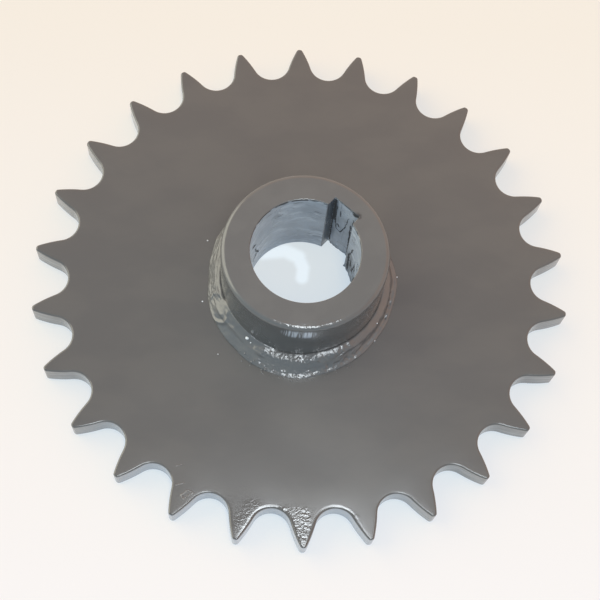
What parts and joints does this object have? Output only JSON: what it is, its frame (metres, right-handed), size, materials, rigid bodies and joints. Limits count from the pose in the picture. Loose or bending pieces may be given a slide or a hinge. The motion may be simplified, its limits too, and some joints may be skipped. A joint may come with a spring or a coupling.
{
  "type": "chain sprocket",
  "caption": "Welded chain sprocket: a flat toothed plate on a raised round hub, bored through, with a keyway, painted grey.",
  "frame": {"origin": "on the bore's axis, at the flat back face that the sprocket lies on", "axes": "+Z along the bore towards the hub's nose; +Y through the middle of the keyway and of the tooth behind it"},
  "size_m": [0.1672, 0.1684, 0.0324],
  "materials": {
    "grey_paint": "satin grey enamel over steel, thick on the edges"
  },
  "bodies": {
    "root": {"tooth_plate": "grey_paint", "hub": "grey_paint", "weld_bead": "grey_paint"}
  },
  "joints": []
}
